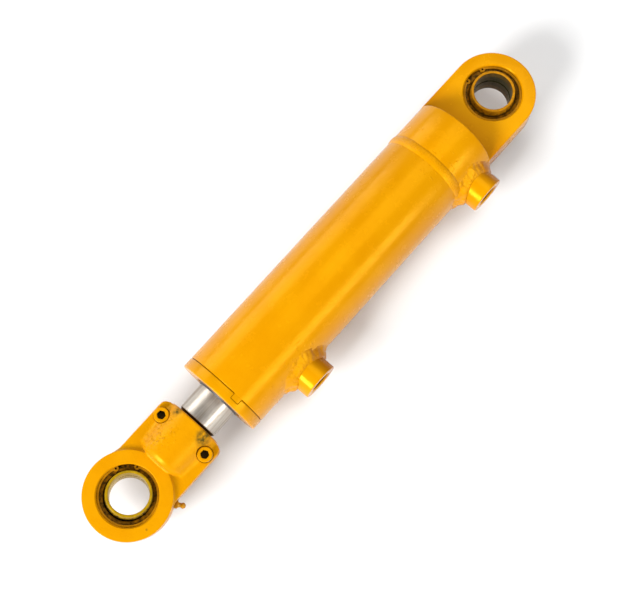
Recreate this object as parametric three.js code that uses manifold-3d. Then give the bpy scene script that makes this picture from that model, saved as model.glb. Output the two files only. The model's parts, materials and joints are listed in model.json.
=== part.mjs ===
// Double-acting hydraulic cylinder with a spherical bearing at each end.
// Millimetres. Origin at the centre of the base eye, +X towards the rod eye,
// +Y towards the oil ports, +Z along the eye bores.

import * as THREE from 'three';
import { mergeVertices } from 'three/addons/utils/BufferGeometryUtils.js';
import Module from 'manifold-3d';

const wasm = await Module();
wasm.setup();

const { degToRad, radToDeg } = THREE.MathUtils;

// ---------------------------------------------------------------- driving dimensions

const CLOSED_LENGTH = 561;    // pin centre to pin centre, rod fully in
const STROKE = 180;
const BORE_R = 40;
const TUBE_R = 47.5;
const ROD_R = 22.5;
const GAP = 0.3;              // between pieces that touch
const PAST = 2;               // a cutting tool reaches this far past the surface it cuts
const ROUND = 30;             // sides of the large round pieces
const SMALL_ROUND = 20;       // sides of rings, seals and screws
const TINY_ROUND = 10;        // sides of holes and of the nipple
const ARC_STEPS = 9;          // steps of a long arc in an outline
const BLEND_STEPS = 5;        // steps of a short one
const SPHERE_STEPS = 6;       // steps across a bearing's ball

// Stations along the cylinder.
const RIM_X = 59;             // where the eye plate meets the round base end
const TUBE_START_X = 110;     // weld between the base end and the tube
const BASE_SPIGOT_X = 124.1;  // the base end reaches this far into the tube
const RECESS_X = 76;          // bottom of the recess that takes the piston nut
const SEAM_X = 418;           // joint between the tube and the gland flange
const GLAND_FRONT_X = 430;
const BASE_PORT_X = 86;
const HEAD_PORT_X = 349.5;
const EYE_X = CLOSED_LENGTH;  // centre of the rod eye

// Oil ports: round bosses, welded on, threaded G 3/4.
const PORT_BOSS_R = 20.5;
const PORT_FACE_Y = 67;
const PORT_THREAD_R = 12.1;
const PORT_THREAD_DEPTH = 17;
const PORT_COUNTERSINK_R = 13.6;
const PORT_HOLE_R = 7.5;

// Eyes and their spherical plain bearings, size 40.
const BASE_EYE_R = 45.5;
const ROD_EYE_R = 45;
const EYE_HALF = 16;          // half the thickness of both eyes
const HOUSING_R = 31;
const CIRCLIP_GROOVE_R = 32.6;
const CIRCLIP_GROOVE_START = 11;
const CIRCLIP_GROOVE_END = 13.6;
const BASE_CLIP_GAP = degToRad(-98);
const ROD_CLIP_GAP = degToRad(-134);
const OUTER_RING_HALF = 11;
const SPHERE_R = 26.4;
const SPHERE_GAP = 0.6;
const INNER_RING_HALF = 20;
const INNER_COLLAR_R = 23;
const PIN_R = 20 / Math.cos(Math.PI / SMALL_ROUND);   // the flats clear a 40 mm pin

// Clamp shank of the rod eye, measured back from the eye's centre.
const SHANK_END = 97.3;
const EAR_END = 95;
const EAR_HALF_WIDTH = 38.5;
const EAR_HALF_HEIGHT = 12;
const SHANK_R = 30;
const SHANK_FACE_X = EYE_X - SHANK_END;
const CLAMP_SCREW_BACK = 80;
const CLAMP_SCREW_Y = 29.2;
const CLAMP_SCREW_SEAT = EAR_HALF_HEIGHT - 4;
const THREAD_R = 16.5;        // M33 x 2
const THREAD_LENGTH = 46;
const SLIT_HALF = 1.5;

// The grease nipple, where the ears blend into the round of the eye.
const NIPPLE_ANGLE = degToRad(121.5);
const NIPPLE_THREAD_R = 2.9;
const NIPPLE_HOLE_R = 3.3;
const NIPPLE_SEAT = ROD_EYE_R + 0.4;

// The gland and its grooves: where each ring sits, as [back, front, radius].
const GLAND_BORE_R = 23.2;
const GLAND_PILOT_R = 39.6;
const ROD_CLEAR_R = 22.9;
const SEAL_HEEL_R = 23.4;
const SEAL_R = 28.5;
const WEAR_R = 25.8;
const GLAND_GROOVE = {
  wiper: [421.5, GLAND_FRONT_X, SEAL_R],
  wearFront: [409.6, 418.4, WEAR_R],
  rodSeal: [396, 405.5, SEAL_R],
  wearRear: [370, 378.8, WEAR_R],
  outside: [384, 392, 36],
};

// The gland is locked by a tongue of the tube that fills a notch in its flange.
const LOCK_ANGLE = degToRad(64);
const LOCK_LENGTH = 6;
const LOCK_WIDTH = 9.6;

// Piston and its stack.
const PISTON_BACK_X = BASE_SPIGOT_X + GAP;
const PISTON_LENGTH = 36;
const PISTON_FRONT_X = PISTON_BACK_X + PISTON_LENGTH;
const PISTON_R = 39.3;
const PISTON_RING_R = 39.7;
const PISTON_BORE_R = 15.4;
const PISTON_SEAL = { back: 138.5, front: 146.5, floorR: 34.5, innerR: 37.2 };
const PISTON_WEAR = { starts: [127.6, 150.6], length: 6.6, floorR: 36.8 };
const ROD_ORING = { back: 140, front: 144.5, floorR: 19 };
const ROD_SPIGOT_R = 15;      // M30 behind the piston
const NUT_LENGTH = 24;
const NUT_ACROSS_FLATS = 46;
const NUT_FRONT_X = PISTON_BACK_X - GAP;
const GLAND_NOSE_X = PISTON_FRONT_X + STROKE + GAP;

// How the pieces lie at rest: the rod is turned a little, its inner ring leans to the barrel.
const ROD_ROLL = degToRad(-4.5);
const ROD_RING_TILT = degToRad(-7);

// ---------------------------------------------------------------- colours

const COLOUR = {
  paint: 0xf5a300,
  chrome: 0xd8dadc,
  steel: 0x8b8d90,
  darkSteel: 0x4a4744,
  brass: 0xb98a3a,
  rubber: 0x1c1c1c,
  polymer: 0x2f6f8f,
  bronze: 0x8a6a3c,
};

const FINISH = {
  paint: { color: COLOUR.paint, roughness: 0.35, metalness: 0 },
  chrome: { color: COLOUR.chrome, roughness: 0.12, metalness: 1 },
  steel: { color: COLOUR.steel, roughness: 0.4, metalness: 1 },
  darkSteel: { color: COLOUR.darkSteel, roughness: 0.5, metalness: 1 },
  brass: { color: COLOUR.brass, roughness: 0.35, metalness: 1 },
  rubber: { color: COLOUR.rubber, roughness: 0.8, metalness: 0 },
  polymer: { color: COLOUR.polymer, roughness: 0.5, metalness: 0 },
  bronze: { color: COLOUR.bronze, roughness: 0.6, metalness: 0 },
};

// ---------------------------------------------------------------- solids

// A closed three.js geometry as a manifold solid, without its zero-size triangles.
function solid(geometry) {
  const bare = geometry.clone();
  bare.deleteAttribute('normal');
  bare.deleteAttribute('uv');
  const merged = mergeVertices(bare, 1e-4);
  const index = merged.index.array;
  const triangles = [];
  for (let i = 0; i < index.length; i += 3) {
    const [a, b, c] = index.slice(i, i + 3);
    if (a !== b && b !== c && c !== a) {
      triangles.push(a, b, c);
    }
  }
  const mesh = new wasm.Mesh({
    numProp: 3,
    vertProperties: new Float32Array(merged.attributes.position.array),
    triVerts: new Uint32Array(triangles),
  });
  return new wasm.Manifold(mesh);
}

function geometryOf(body) {
  const mesh = body.getMesh();
  const geometry = new THREE.BufferGeometry();
  geometry.setAttribute('position', new THREE.BufferAttribute(mesh.vertProperties, 3));
  geometry.setIndex(new THREE.BufferAttribute(mesh.triVerts, 1));
  const flat = geometry.toNonIndexed();
  flat.computeVertexNormals();
  return flat;
}

function join(first, ...others) {
  return others.reduce((sum, other) => sum.add(other), first);
}

function cut(body, ...tools) {
  return tools.reduce((rest, tool) => rest.subtract(tool), body);
}

// A turned piece about X. Each profile point is [x, radius]. The profile goes out along the
// back, forward along the outside and in along the front; it closes on itself unless it
// starts and ends on the axis.
function turnedX(profile, sides = ROUND) {
  const closed = profile.every(([, radius]) => radius > 0);
  const points = profile.map(([x, radius]) => new THREE.Vector2(radius, x));
  if (closed) {
    points.push(points[0].clone());
  }
  return new THREE.LatheGeometry(points, sides).rotateZ(-Math.PI / 2);
}

// The same about Z, with profile points [z, radius].
function turnedZ(profile, sides = ROUND) {
  return turnedX(profile, sides).rotateY(-Math.PI / 2);
}

function rodX(x0, x1, radius, sides = ROUND) {
  return turnedX([[x0, 0], [x0, radius], [x1, radius], [x1, 0]], sides);
}

function rodZ(z0, z1, radius, sides = ROUND) {
  return turnedZ([[z0, 0], [z0, radius], [z1, radius], [z1, 0]], sides);
}

function box(x0, x1, y0, y1, z0, z1) {
  const geometry = new THREE.BoxGeometry(x1 - x0, y1 - y0, z1 - z0);
  return geometry.translate((x0 + x1) / 2, (y0 + y1) / 2, (z0 + z1) / 2);
}

// A rectangular ring about X between two stations and two radii.
function ringX(x0, x1, inner, outer, sides = SMALL_ROUND) {
  return turnedX([[x0, inner], [x0, outer], [x1, outer], [x1, inner]], sides);
}

// A round-section ring about X, like an O-ring.
function roundRingX(x, radius, section, sides = ROUND) {
  const corners = 6;
  const profile = [];
  for (let i = 0; i < corners; i += 1) {
    const angle = 2 * Math.PI * i / corners;
    profile.push([x - section / 2 * Math.cos(angle), radius + section / 2 * Math.sin(angle)]);
  }
  return turnedX(profile, sides);
}

function arcPoints(radius, halfSpan, steps) {
  const limit = Math.asin(halfSpan / radius);
  const points = [];
  for (let i = 0; i <= steps; i += 1) {
    const angle = -limit + 2 * limit * i / steps;
    points.push([radius * Math.sin(angle), radius * Math.cos(angle)]);
  }
  return points;
}

function extrudeZ(shape, z0, z1, curveSegments) {
  const options = { depth: z1 - z0, bevelEnabled: false, curveSegments };
  return new THREE.ExtrudeGeometry(shape, options).translate(0, 0, z0);
}

// ---------------------------------------------------------------- barrel group

function lockBlock(clearance) {
  const halfWidth = LOCK_WIDTH / 2 + clearance;
  const front = SEAM_X + LOCK_LENGTH + clearance;
  const block = box(SEAM_X - PAST, front, BORE_R, TUBE_R + PAST, -halfWidth, halfWidth);
  return solid(block.rotateX(LOCK_ANGLE));
}

// The oil hole under a port, out through a wall that starts at the given radius.
function oilHole(x, wallR) {
  const hole = rodZ(wallR - PAST, TUBE_R + PAST, PORT_HOLE_R, TINY_ROUND).rotateX(-Math.PI / 2);
  return solid(hole).translate([x, 0, 0]);
}

function cylinderTube() {
  const tube = solid(ringX(TUBE_START_X + GAP, SEAM_X, BORE_R, TUBE_R, ROUND));
  const lockRing = solid(ringX(SEAM_X - PAST, GLAND_FRONT_X, BORE_R + GAP, TUBE_R - GAP, ROUND));
  const tongue = lockBlock(0).intersect(lockRing);
  return cut(join(tube, tongue), oilHole(HEAD_PORT_X, BORE_R));
}

function bearingHousing() {
  const grooves = [-1, 1].map((side) => {
    const ends = [side * CIRCLIP_GROOVE_START, side * CIRCLIP_GROOVE_END].sort((a, b) => a - b);
    return solid(rodZ(ends[0], ends[1], CIRCLIP_GROOVE_R));
  });
  const chamfer = 0.9;
  const end = EYE_HALF + PAST;
  const mouth = solid(turnedZ([
    [EYE_HALF - chamfer, 0], [EYE_HALF - chamfer, HOUSING_R],
    [end, HOUSING_R + chamfer + PAST], [end, 0],
  ]));
  const mouths = [mouth, mouth.rotate([180, 0, 0])];
  return join(solid(rodZ(-end, end, HOUSING_R)), ...grooves, ...mouths);
}

function baseEnd() {
  const plateEnd = RIM_X + 1;
  const plateShape = new THREE.Shape();
  plateShape.moveTo(plateEnd, -BASE_EYE_R);
  plateShape.lineTo(plateEnd, BASE_EYE_R);
  plateShape.lineTo(0, BASE_EYE_R);
  plateShape.absarc(0, 0, BASE_EYE_R, Math.PI / 2, 3 * Math.PI / 2, false);
  plateShape.closePath();
  const plate = solid(extrudeZ(plateShape, -EYE_HALF, EYE_HALF, ARC_STEPS));
  const edge = 1.2;
  const recessR = 30;
  const spigotR = 39.6;
  const body = solid(turnedX([
    [RIM_X, 0], [RIM_X, TUBE_R - edge], [RIM_X + edge, TUBE_R], [TUBE_START_X, TUBE_R],
    [TUBE_START_X, spigotR], [BASE_SPIGOT_X, spigotR], [BASE_SPIGOT_X, recessR],
    [RECESS_X, recessR], [RECESS_X, 0],
  ]));
  return cut(join(plate, body), bearingHousing(), oilHole(BASE_PORT_X, recessR));
}

// A port boss along +Y, its foot cut to sit on the barrel.
function portBoss(x) {
  const edge = 1;
  const lead = PORT_COUNTERSINK_R - PORT_THREAD_R;
  const threadEnd = PORT_FACE_Y - PORT_THREAD_DEPTH;
  const profile = [
    [BORE_R, PORT_HOLE_R], [BORE_R, PORT_BOSS_R], [PORT_FACE_Y - edge, PORT_BOSS_R],
    [PORT_FACE_Y, PORT_BOSS_R - edge], [PORT_FACE_Y, PORT_COUNTERSINK_R],
    [PORT_FACE_Y - lead, PORT_THREAD_R], [threadEnd, PORT_THREAD_R], [threadEnd, PORT_HOLE_R],
  ];
  const boss = solid(turnedX(profile, SMALL_ROUND).rotateZ(Math.PI / 2));
  const barrel = solid(rodX(-PORT_BOSS_R - PAST, PORT_BOSS_R + PAST, TUBE_R + GAP));
  return cut(boss, barrel).translate([x, 0, 0]);
}

function gland() {
  const [outerBack, outerFront, outerFloorR] = GLAND_GROOVE.outside;
  const [wiperBack, , wiperR] = GLAND_GROOVE.wiper;
  const noseEnd = 362;
  const noseR = 34;
  const edge = 1;
  const outside = [
    [GLAND_NOSE_X, GLAND_BORE_R], [GLAND_NOSE_X, noseR], [noseEnd, noseR], [noseEnd, GLAND_PILOT_R],
    [outerBack, GLAND_PILOT_R], [outerBack, outerFloorR],
    [outerFront, outerFloorR], [outerFront, GLAND_PILOT_R],
    [SEAM_X + GAP, GLAND_PILOT_R], [SEAM_X + GAP, TUBE_R],
    [GLAND_FRONT_X - edge, TUBE_R], [GLAND_FRONT_X, TUBE_R - edge],
  ];
  const inside = [[GLAND_FRONT_X, wiperR], [wiperBack, wiperR], [wiperBack, GLAND_BORE_R]];
  for (const name of ['wearFront', 'rodSeal', 'wearRear']) {
    const [back, front, radius] = GLAND_GROOVE[name];
    inside.push([front, GLAND_BORE_R], [front, radius], [back, radius], [back, GLAND_BORE_R]);
  }
  return cut(solid(turnedX([...outside, ...inside])), lockBlock(GAP));
}

// A ring that fills a gland groove with a small clearance and reaches in to the rod.
function glandRing([back, front, radius]) {
  return solid(ringX(back + GAP, front - GAP, ROD_CLEAR_R, radius - GAP));
}

// A lip seal: a U-shaped section that opens towards the oil.
function rodSeal() {
  const [back, front, radius] = GLAND_GROOVE.rodSeal;
  const outer = radius - GAP;
  const lip = 1.6;
  const notchDepth = 4;
  const notchX = back + notchDepth;
  const notchR = (ROD_CLEAR_R + outer) / 2;
  return solid(turnedX([
    [back + GAP, ROD_CLEAR_R], [back + GAP, ROD_CLEAR_R + lip], [notchX, notchR],
    [back + GAP, outer - lip], [back + GAP, outer], [front - GAP, outer],
    [front - GAP, SEAL_HEEL_R], [notchX, SEAL_HEEL_R],
  ], SMALL_ROUND));
}

// The wiper: a ring with a lip that stands a little proud of the gland's front face.
function rodWiper() {
  const [back, front, radius] = GLAND_GROOVE.wiper;
  const outer = radius - GAP;
  const shoulderX = front - 1.2;
  const shoulderR = 25.4;
  const lipX = front + 1.5;
  const lipR = 23.8;
  return solid(turnedX([
    [back + GAP, SEAL_HEEL_R], [back + GAP, outer], [shoulderX, outer],
    [shoulderX, shoulderR], [lipX, lipR], [lipX, ROD_CLEAR_R],
  ], SMALL_ROUND));
}

function glandOring() {
  const [back, , radius] = GLAND_GROOVE.outside;
  const section = 3.5;
  return solid(roundRingX(back + GAP + section / 2, radius + GAP / 2 + section / 2, section));
}

function glandBackupRing() {
  const [, front, radius] = GLAND_GROOVE.outside;
  const thickness = 2.7;
  const end = front - GAP;
  return solid(ringX(end - thickness, end, radius + GAP, GLAND_PILOT_R, ROUND));
}

// ---------------------------------------------------------------- piston group

function piston() {
  const [rearWear, frontWear] = PISTON_WEAR.starts.map(
    (start) => [start, start + PISTON_WEAR.length, PISTON_WEAR.floorR],
  );
  const grooves = [rearWear, [PISTON_SEAL.back, PISTON_SEAL.front, PISTON_SEAL.floorR], frontWear];
  const outside = [[PISTON_BACK_X, PISTON_BORE_R], [PISTON_BACK_X, PISTON_R]];
  for (const [x0, x1, radius] of grooves) {
    outside.push([x0, PISTON_R], [x0, radius], [x1, radius], [x1, PISTON_R]);
  }
  outside.push([PISTON_FRONT_X, PISTON_R], [PISTON_FRONT_X, PISTON_BORE_R]);
  const { back, front, floorR } = ROD_ORING;
  const inside = [[front, PISTON_BORE_R], [front, floorR], [back, floorR], [back, PISTON_BORE_R]];
  return solid(turnedX([...outside, ...inside]));
}

function pistonSeal() {
  const { back, front, innerR } = PISTON_SEAL;
  return solid(ringX(back + GAP, front - GAP, innerR, PISTON_RING_R, ROUND));
}

function pistonEnergizer() {
  const middle = (PISTON_SEAL.back + PISTON_SEAL.front) / 2;
  const section = 2;
  return solid(roundRingX(middle, PISTON_SEAL.floorR + GAP + section / 2, section));
}

function pistonWearRing(start) {
  const { length, floorR } = PISTON_WEAR;
  return solid(ringX(start + GAP, start + length - GAP, floorR + GAP, PISTON_RING_R, ROUND));
}

function pistonRodOring() {
  const middle = (ROD_ORING.back + ROD_ORING.front) / 2;
  const innerR = 15.5;
  const section = 3.2;
  return solid(roundRingX(middle, innerR + section / 2, section));
}

// ---------------------------------------------------------------- rod group

function pistonRod() {
  const pastNut = 3;
  const threadSpare = 2;
  const threadChamfer = 2;
  const shoulderChamfer = 1;
  const endChamfer = 2.2;
  const threadR = THREAD_R - GAP;
  const tailX = NUT_FRONT_X - NUT_LENGTH - pastNut;
  const shoulderX = PISTON_FRONT_X + GAP;
  const endX = SHANK_FACE_X - GAP;
  const tipX = SHANK_FACE_X + THREAD_LENGTH - threadSpare;
  return solid(turnedX([
    [tailX, 0], [tailX, ROD_SPIGOT_R - threadChamfer], [tailX + threadChamfer, ROD_SPIGOT_R],
    [shoulderX, ROD_SPIGOT_R], [shoulderX, ROD_R - shoulderChamfer],
    [shoulderX + shoulderChamfer, ROD_R], [endX - endChamfer, ROD_R], [endX, ROD_R - endChamfer],
    [endX, threadR], [tipX - threadChamfer, threadR], [tipX, threadR - threadChamfer], [tipX, 0],
  ]));
}

function hexCornerR(acrossFlats) {
  return acrossFlats / 2 / Math.cos(Math.PI / 6);
}

function hexPrismX(x0, x1, acrossFlats) {
  return solid(rodX(x0, x1, hexCornerR(acrossFlats), 6));
}

// A hexagon nut whose corners are turned down at both ends.
function pistonNut() {
  const back = NUT_FRONT_X - NUT_LENGTH;
  const front = NUT_FRONT_X;
  const chamferX = 1.8;
  const chamferR = 3;
  const turnedR = hexCornerR(NUT_ACROSS_FLATS) + 0.2;
  const envelope = solid(turnedX([
    [back, 0], [back, turnedR - chamferR], [back + chamferX, turnedR],
    [front - chamferX, turnedR], [front, turnedR - chamferR], [front, 0],
  ], SMALL_ROUND));
  const bore = solid(rodX(back - PAST, front + PAST, ROD_SPIGOT_R + GAP));
  return cut(hexPrismX(back, front, NUT_ACROSS_FLATS).intersect(envelope), bore);
}

// The ears and the round of the eye as one outline, blended by a hollow on each side.
function rodEyeOutline() {
  const blendR = 40;
  const cornerR = 7;
  const cornerX = -EAR_END + cornerR;
  const cornerY = EAR_HALF_WIDTH - cornerR;
  const blendY = EAR_HALF_WIDTH + blendR;
  const blendX = Math.sqrt((ROD_EYE_R + blendR) ** 2 - blendY ** 2);
  const meetAngle = Math.atan2(blendY, -blendX);
  const shape = new THREE.Shape();
  shape.moveTo(-EAR_END, cornerY);
  shape.absarc(cornerX, cornerY, cornerR, Math.PI, Math.PI / 2, true);
  shape.lineTo(-blendX, EAR_HALF_WIDTH);
  shape.absarc(-blendX, blendY, blendR, -Math.PI / 2, meetAngle - Math.PI, false);
  shape.absarc(0, 0, ROD_EYE_R, meetAngle, -meetAngle, true);
  shape.absarc(-blendX, -blendY, blendR, Math.PI - meetAngle, Math.PI / 2, false);
  shape.lineTo(cornerX, -EAR_HALF_WIDTH);
  shape.absarc(cornerX, -cornerY, cornerR, -Math.PI / 2, -Math.PI, true);
  shape.closePath();
  return shape;
}

function clampScrewHole(side) {
  const holeR = 5.4;
  const pocketR = 8.9;
  const hole = solid(rodZ(-EAR_HALF_HEIGHT - PAST, EAR_HALF_HEIGHT, holeR, TINY_ROUND));
  const pocket = solid(rodZ(CLAMP_SCREW_SEAT, SHANK_R + PAST, pocketR, SMALL_ROUND));
  return join(hole, pocket).translate([-CLAMP_SCREW_BACK, side * CLAMP_SCREW_Y, 0]);
}

// The nipple's threaded hole, with a flat seat round it.
function nippleHole() {
  const seatR = 5.2;
  const seatReach = 8;
  const hole = solid(rodX(HOUSING_R - PAST, NIPPLE_SEAT + PAST, NIPPLE_HOLE_R, TINY_ROUND));
  const seat = solid(rodX(NIPPLE_SEAT, NIPPLE_SEAT + seatReach, seatR, TINY_ROUND));
  return join(hole, seat).rotate([0, 0, radToDeg(NIPPLE_ANGLE)]);
}

// The round of the eye, the flat ears and the round shank, which slopes down into the eye.
function rodEye() {
  const ears = solid(extrudeZ(rodEyeOutline(), -EAR_HALF_HEIGHT, EAR_HALF_HEIGHT, BLEND_STEPS));
  const ringEdge = 1;
  const ring = solid(turnedZ([
    [-EYE_HALF, 0], [-EYE_HALF, ROD_EYE_R - ringEdge], [-EYE_HALF + ringEdge, ROD_EYE_R],
    [EYE_HALF - ringEdge, ROD_EYE_R], [EYE_HALF, ROD_EYE_R - ringEdge], [EYE_HALF, 0],
  ]));
  const shankEdge = 1.5;
  const slopeStartX = -74;
  const slopeEndX = -43.4;
  const slopeEndR = 27;
  const rootX = -38;
  const rootR = 15;
  const shank = solid(turnedX([
    [-SHANK_END, 0], [-SHANK_END, SHANK_R - shankEdge], [-SHANK_END + shankEdge, SHANK_R],
    [slopeStartX, SHANK_R], [slopeEndX, slopeEndR], [rootX, rootR], [rootX, 0],
  ]));
  const faceX = -SHANK_END - PAST;
  const threadEnd = -SHANK_END + THREAD_LENGTH;
  const slitSide = EAR_HALF_WIDTH + PAST;
  const thread = solid(rodX(faceX, threadEnd, THREAD_R + GAP));
  const slit = solid(box(faceX, threadEnd, -slitSide, slitSide, -SLIT_HALF, SLIT_HALF));
  return cut(
    join(ears, ring, shank), bearingHousing(), thread, slit,
    clampScrewHole(1), clampScrewHole(-1), nippleHole(),
  );
}

// A socket head cap screw.
function clampScrew(side) {
  const shankR = 5;
  const tipChamfer = 1;
  const headR = 8;
  const headHeight = 10;
  const headEdge = 0.8;
  const socketDepth = 5;
  const keyAcrossFlats = 8;
  const seat = CLAMP_SCREW_SEAT + GAP;
  const top = seat + headHeight;
  const tip = -EAR_HALF_HEIGHT + 1;
  const screw = solid(turnedZ([
    [tip, 0], [tip, shankR - tipChamfer], [tip + tipChamfer, shankR], [seat, shankR],
    [seat, headR], [top - headEdge, headR], [top, headR - headEdge], [top, 0],
  ], SMALL_ROUND));
  const socket = hexPrismX(top - socketDepth, top + PAST, keyAcrossFlats).rotate([0, -90, 0]);
  return cut(screw, socket).translate([-CLAMP_SCREW_BACK, side * CLAMP_SCREW_Y, 0]);
}

// Its profile is in heights over the seat: thread, collar, neck and the ball that the gun grips.
function greaseNipple() {
  const threadLength = 9;
  const collarR = 4.2;
  const neckR = 2.1;
  const ballR = 3.1;
  const tipR = 1.2;
  const profile = [
    [-threadLength, 0], [-threadLength, NIPPLE_THREAD_R], [GAP, NIPPLE_THREAD_R],
    [GAP, collarR], [3, collarR], [4, NIPPLE_THREAD_R],
    [6.5, neckR], [8.5, ballR], [10.5, ballR - 0.5], [11.5, tipR], [11.5, 0],
  ];
  const placed = profile.map(([height, radius]) => [NIPPLE_SEAT + height, radius]);
  return solid(turnedX(placed, TINY_ROUND).rotateZ(NIPPLE_ANGLE));
}

// ---------------------------------------------------------------- spherical bearings

function bearingOuterRing() {
  const outerR = HOUSING_R - GAP;
  const innerSphereR = SPHERE_R + SPHERE_GAP;
  const mouthR = 25.4;
  const mouthLip = 0.6;
  const chamfer = 0.9;
  const end = OUTER_RING_HALF;
  const sphere = arcPoints(innerSphereR, end - mouthLip, SPHERE_STEPS).reverse();
  return solid(turnedZ([
    [-end, mouthR], [-end, outerR - chamfer], [-end + chamfer, outerR],
    [end - chamfer, outerR], [end, outerR - chamfer], [end, mouthR], ...sphere,
  ], SMALL_ROUND));
}

function bearingInnerRing() {
  const chamfer = 0.6;
  const shoulder = Math.sqrt(SPHERE_R ** 2 - INNER_COLLAR_R ** 2);
  const end = INNER_RING_HALF;
  const lowerCollar = [
    [-end + chamfer, PIN_R], [-end, PIN_R + chamfer],
    [-end, INNER_COLLAR_R - chamfer], [-end + chamfer, INNER_COLLAR_R],
  ];
  const upperCollar = lowerCollar.map(([z, radius]) => [-z, radius]).reverse();
  const sphere = arcPoints(SPHERE_R, shoulder, SPHERE_STEPS);
  return solid(turnedZ([...lowerCollar, ...sphere, ...upperCollar], SMALL_ROUND));
}

// An internal retaining ring, open between two lugs with plier holes.
function circlip(gapMiddle, face) {
  const outer = CIRCLIP_GROOVE_R - GAP;
  const inner = 28.6;
  const lugAt = 29.4;
  const lugR = 2.9;
  const holeR = 1.2;
  const holeSides = 8;
  const halfOpening = degToRad(21);
  const from = gapMiddle + halfOpening;
  const to = gapMiddle - halfOpening + 2 * Math.PI;
  const band = new THREE.Shape();
  band.absarc(0, 0, outer, from, to, false);
  band.absarc(0, 0, inner, to, from, true);
  band.closePath();
  const thickness = 2;
  const z0 = face > 0 ? CIRCLIP_GROOVE_START + GAP : -CIRCLIP_GROOVE_START - GAP - thickness;
  const z1 = z0 + thickness;
  const clip = solid(extrudeZ(band, z0, z1, ARC_STEPS));
  const lugs = [from, to].map((angle) => {
    const place = [lugAt * Math.cos(angle), lugAt * Math.sin(angle), 0];
    const disc = solid(rodZ(z0, z1, lugR, TINY_ROUND)).translate(place);
    const hole = solid(rodZ(z0 - PAST, z1 + PAST, holeR, holeSides)).translate(place);
    return { disc, hole };
  });
  return cut(join(clip, ...lugs.map((lug) => lug.disc)), ...lugs.map((lug) => lug.hole));
}

// ---------------------------------------------------------------- assembly

const cylinder = new THREE.Group();
const rodEyeGroup = new THREE.Group();
rodEyeGroup.position.x = EYE_X;
const rodGroup = new THREE.Group();
rodGroup.rotation.x = ROD_ROLL;
rodGroup.add(rodEyeGroup);
cylinder.add(rodGroup);

function add(group, name, body, finish) {
  const mesh = new THREE.Mesh(geometryOf(body), new THREE.MeshStandardMaterial(FINISH[finish]));
  mesh.name = name;
  group.add(mesh);
  return mesh;
}

add(cylinder, 'cylinder_tube', cylinderTube(), 'paint');
add(cylinder, 'base_end', baseEnd(), 'paint');
add(cylinder, 'base_port_boss', portBoss(BASE_PORT_X), 'paint');
add(cylinder, 'head_port_boss', portBoss(HEAD_PORT_X), 'paint');
add(cylinder, 'gland', gland(), 'paint');
add(cylinder, 'gland_oring', glandOring(), 'rubber');
add(cylinder, 'gland_backup_ring', glandBackupRing(), 'polymer');
add(cylinder, 'gland_wear_ring_front', glandRing(GLAND_GROOVE.wearFront), 'bronze');
add(cylinder, 'gland_wear_ring_rear', glandRing(GLAND_GROOVE.wearRear), 'bronze');
add(cylinder, 'rod_seal', rodSeal(), 'polymer');
add(cylinder, 'rod_wiper', rodWiper(), 'rubber');

add(cylinder, 'base_bearing_outer_ring', bearingOuterRing(), 'darkSteel');
add(cylinder, 'base_bearing_inner_ring', bearingInnerRing(), 'steel');
add(cylinder, 'base_circlip_upper', circlip(BASE_CLIP_GAP, 1), 'darkSteel');
add(cylinder, 'base_circlip_lower', circlip(BASE_CLIP_GAP, -1), 'darkSteel');

add(cylinder, 'piston', piston(), 'steel');
add(cylinder, 'piston_seal', pistonSeal(), 'polymer');
add(cylinder, 'piston_seal_energizer', pistonEnergizer(), 'rubber');
add(cylinder, 'piston_wear_ring_rear', pistonWearRing(PISTON_WEAR.starts[0]), 'bronze');
add(cylinder, 'piston_wear_ring_front', pistonWearRing(PISTON_WEAR.starts[1]), 'bronze');
add(cylinder, 'piston_rod_oring', pistonRodOring(), 'rubber');

add(rodGroup, 'piston_rod', pistonRod(), 'chrome');
add(rodGroup, 'piston_nut', pistonNut(), 'steel');
add(rodEyeGroup, 'rod_eye', rodEye(), 'paint');
add(rodEyeGroup, 'clamp_screw_left', clampScrew(-1), 'paint');
add(rodEyeGroup, 'clamp_screw_right', clampScrew(1), 'paint');
add(rodEyeGroup, 'grease_nipple', greaseNipple(), 'brass');
add(rodEyeGroup, 'rod_bearing_outer_ring', bearingOuterRing(), 'darkSteel');
add(rodEyeGroup, 'rod_circlip_upper', circlip(ROD_CLIP_GAP, 1), 'darkSteel');
add(rodEyeGroup, 'rod_circlip_lower', circlip(ROD_CLIP_GAP, -1), 'darkSteel');
const rodInnerRing = add(rodEyeGroup, 'rod_bearing_inner_ring', bearingInnerRing(), 'steel');
rodInnerRing.rotation.y = ROD_RING_TILT;

export default cylinder;
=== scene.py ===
"""Looks of the hydraulic cylinder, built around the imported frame. Lengths in the frame are metres;
piece dimensions below are millimetres, and each mesh is scaled by MM when it is made."""

import json
import math
import random

import bmesh
import bpy
from mathutils import Matrix, Vector, noise


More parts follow.
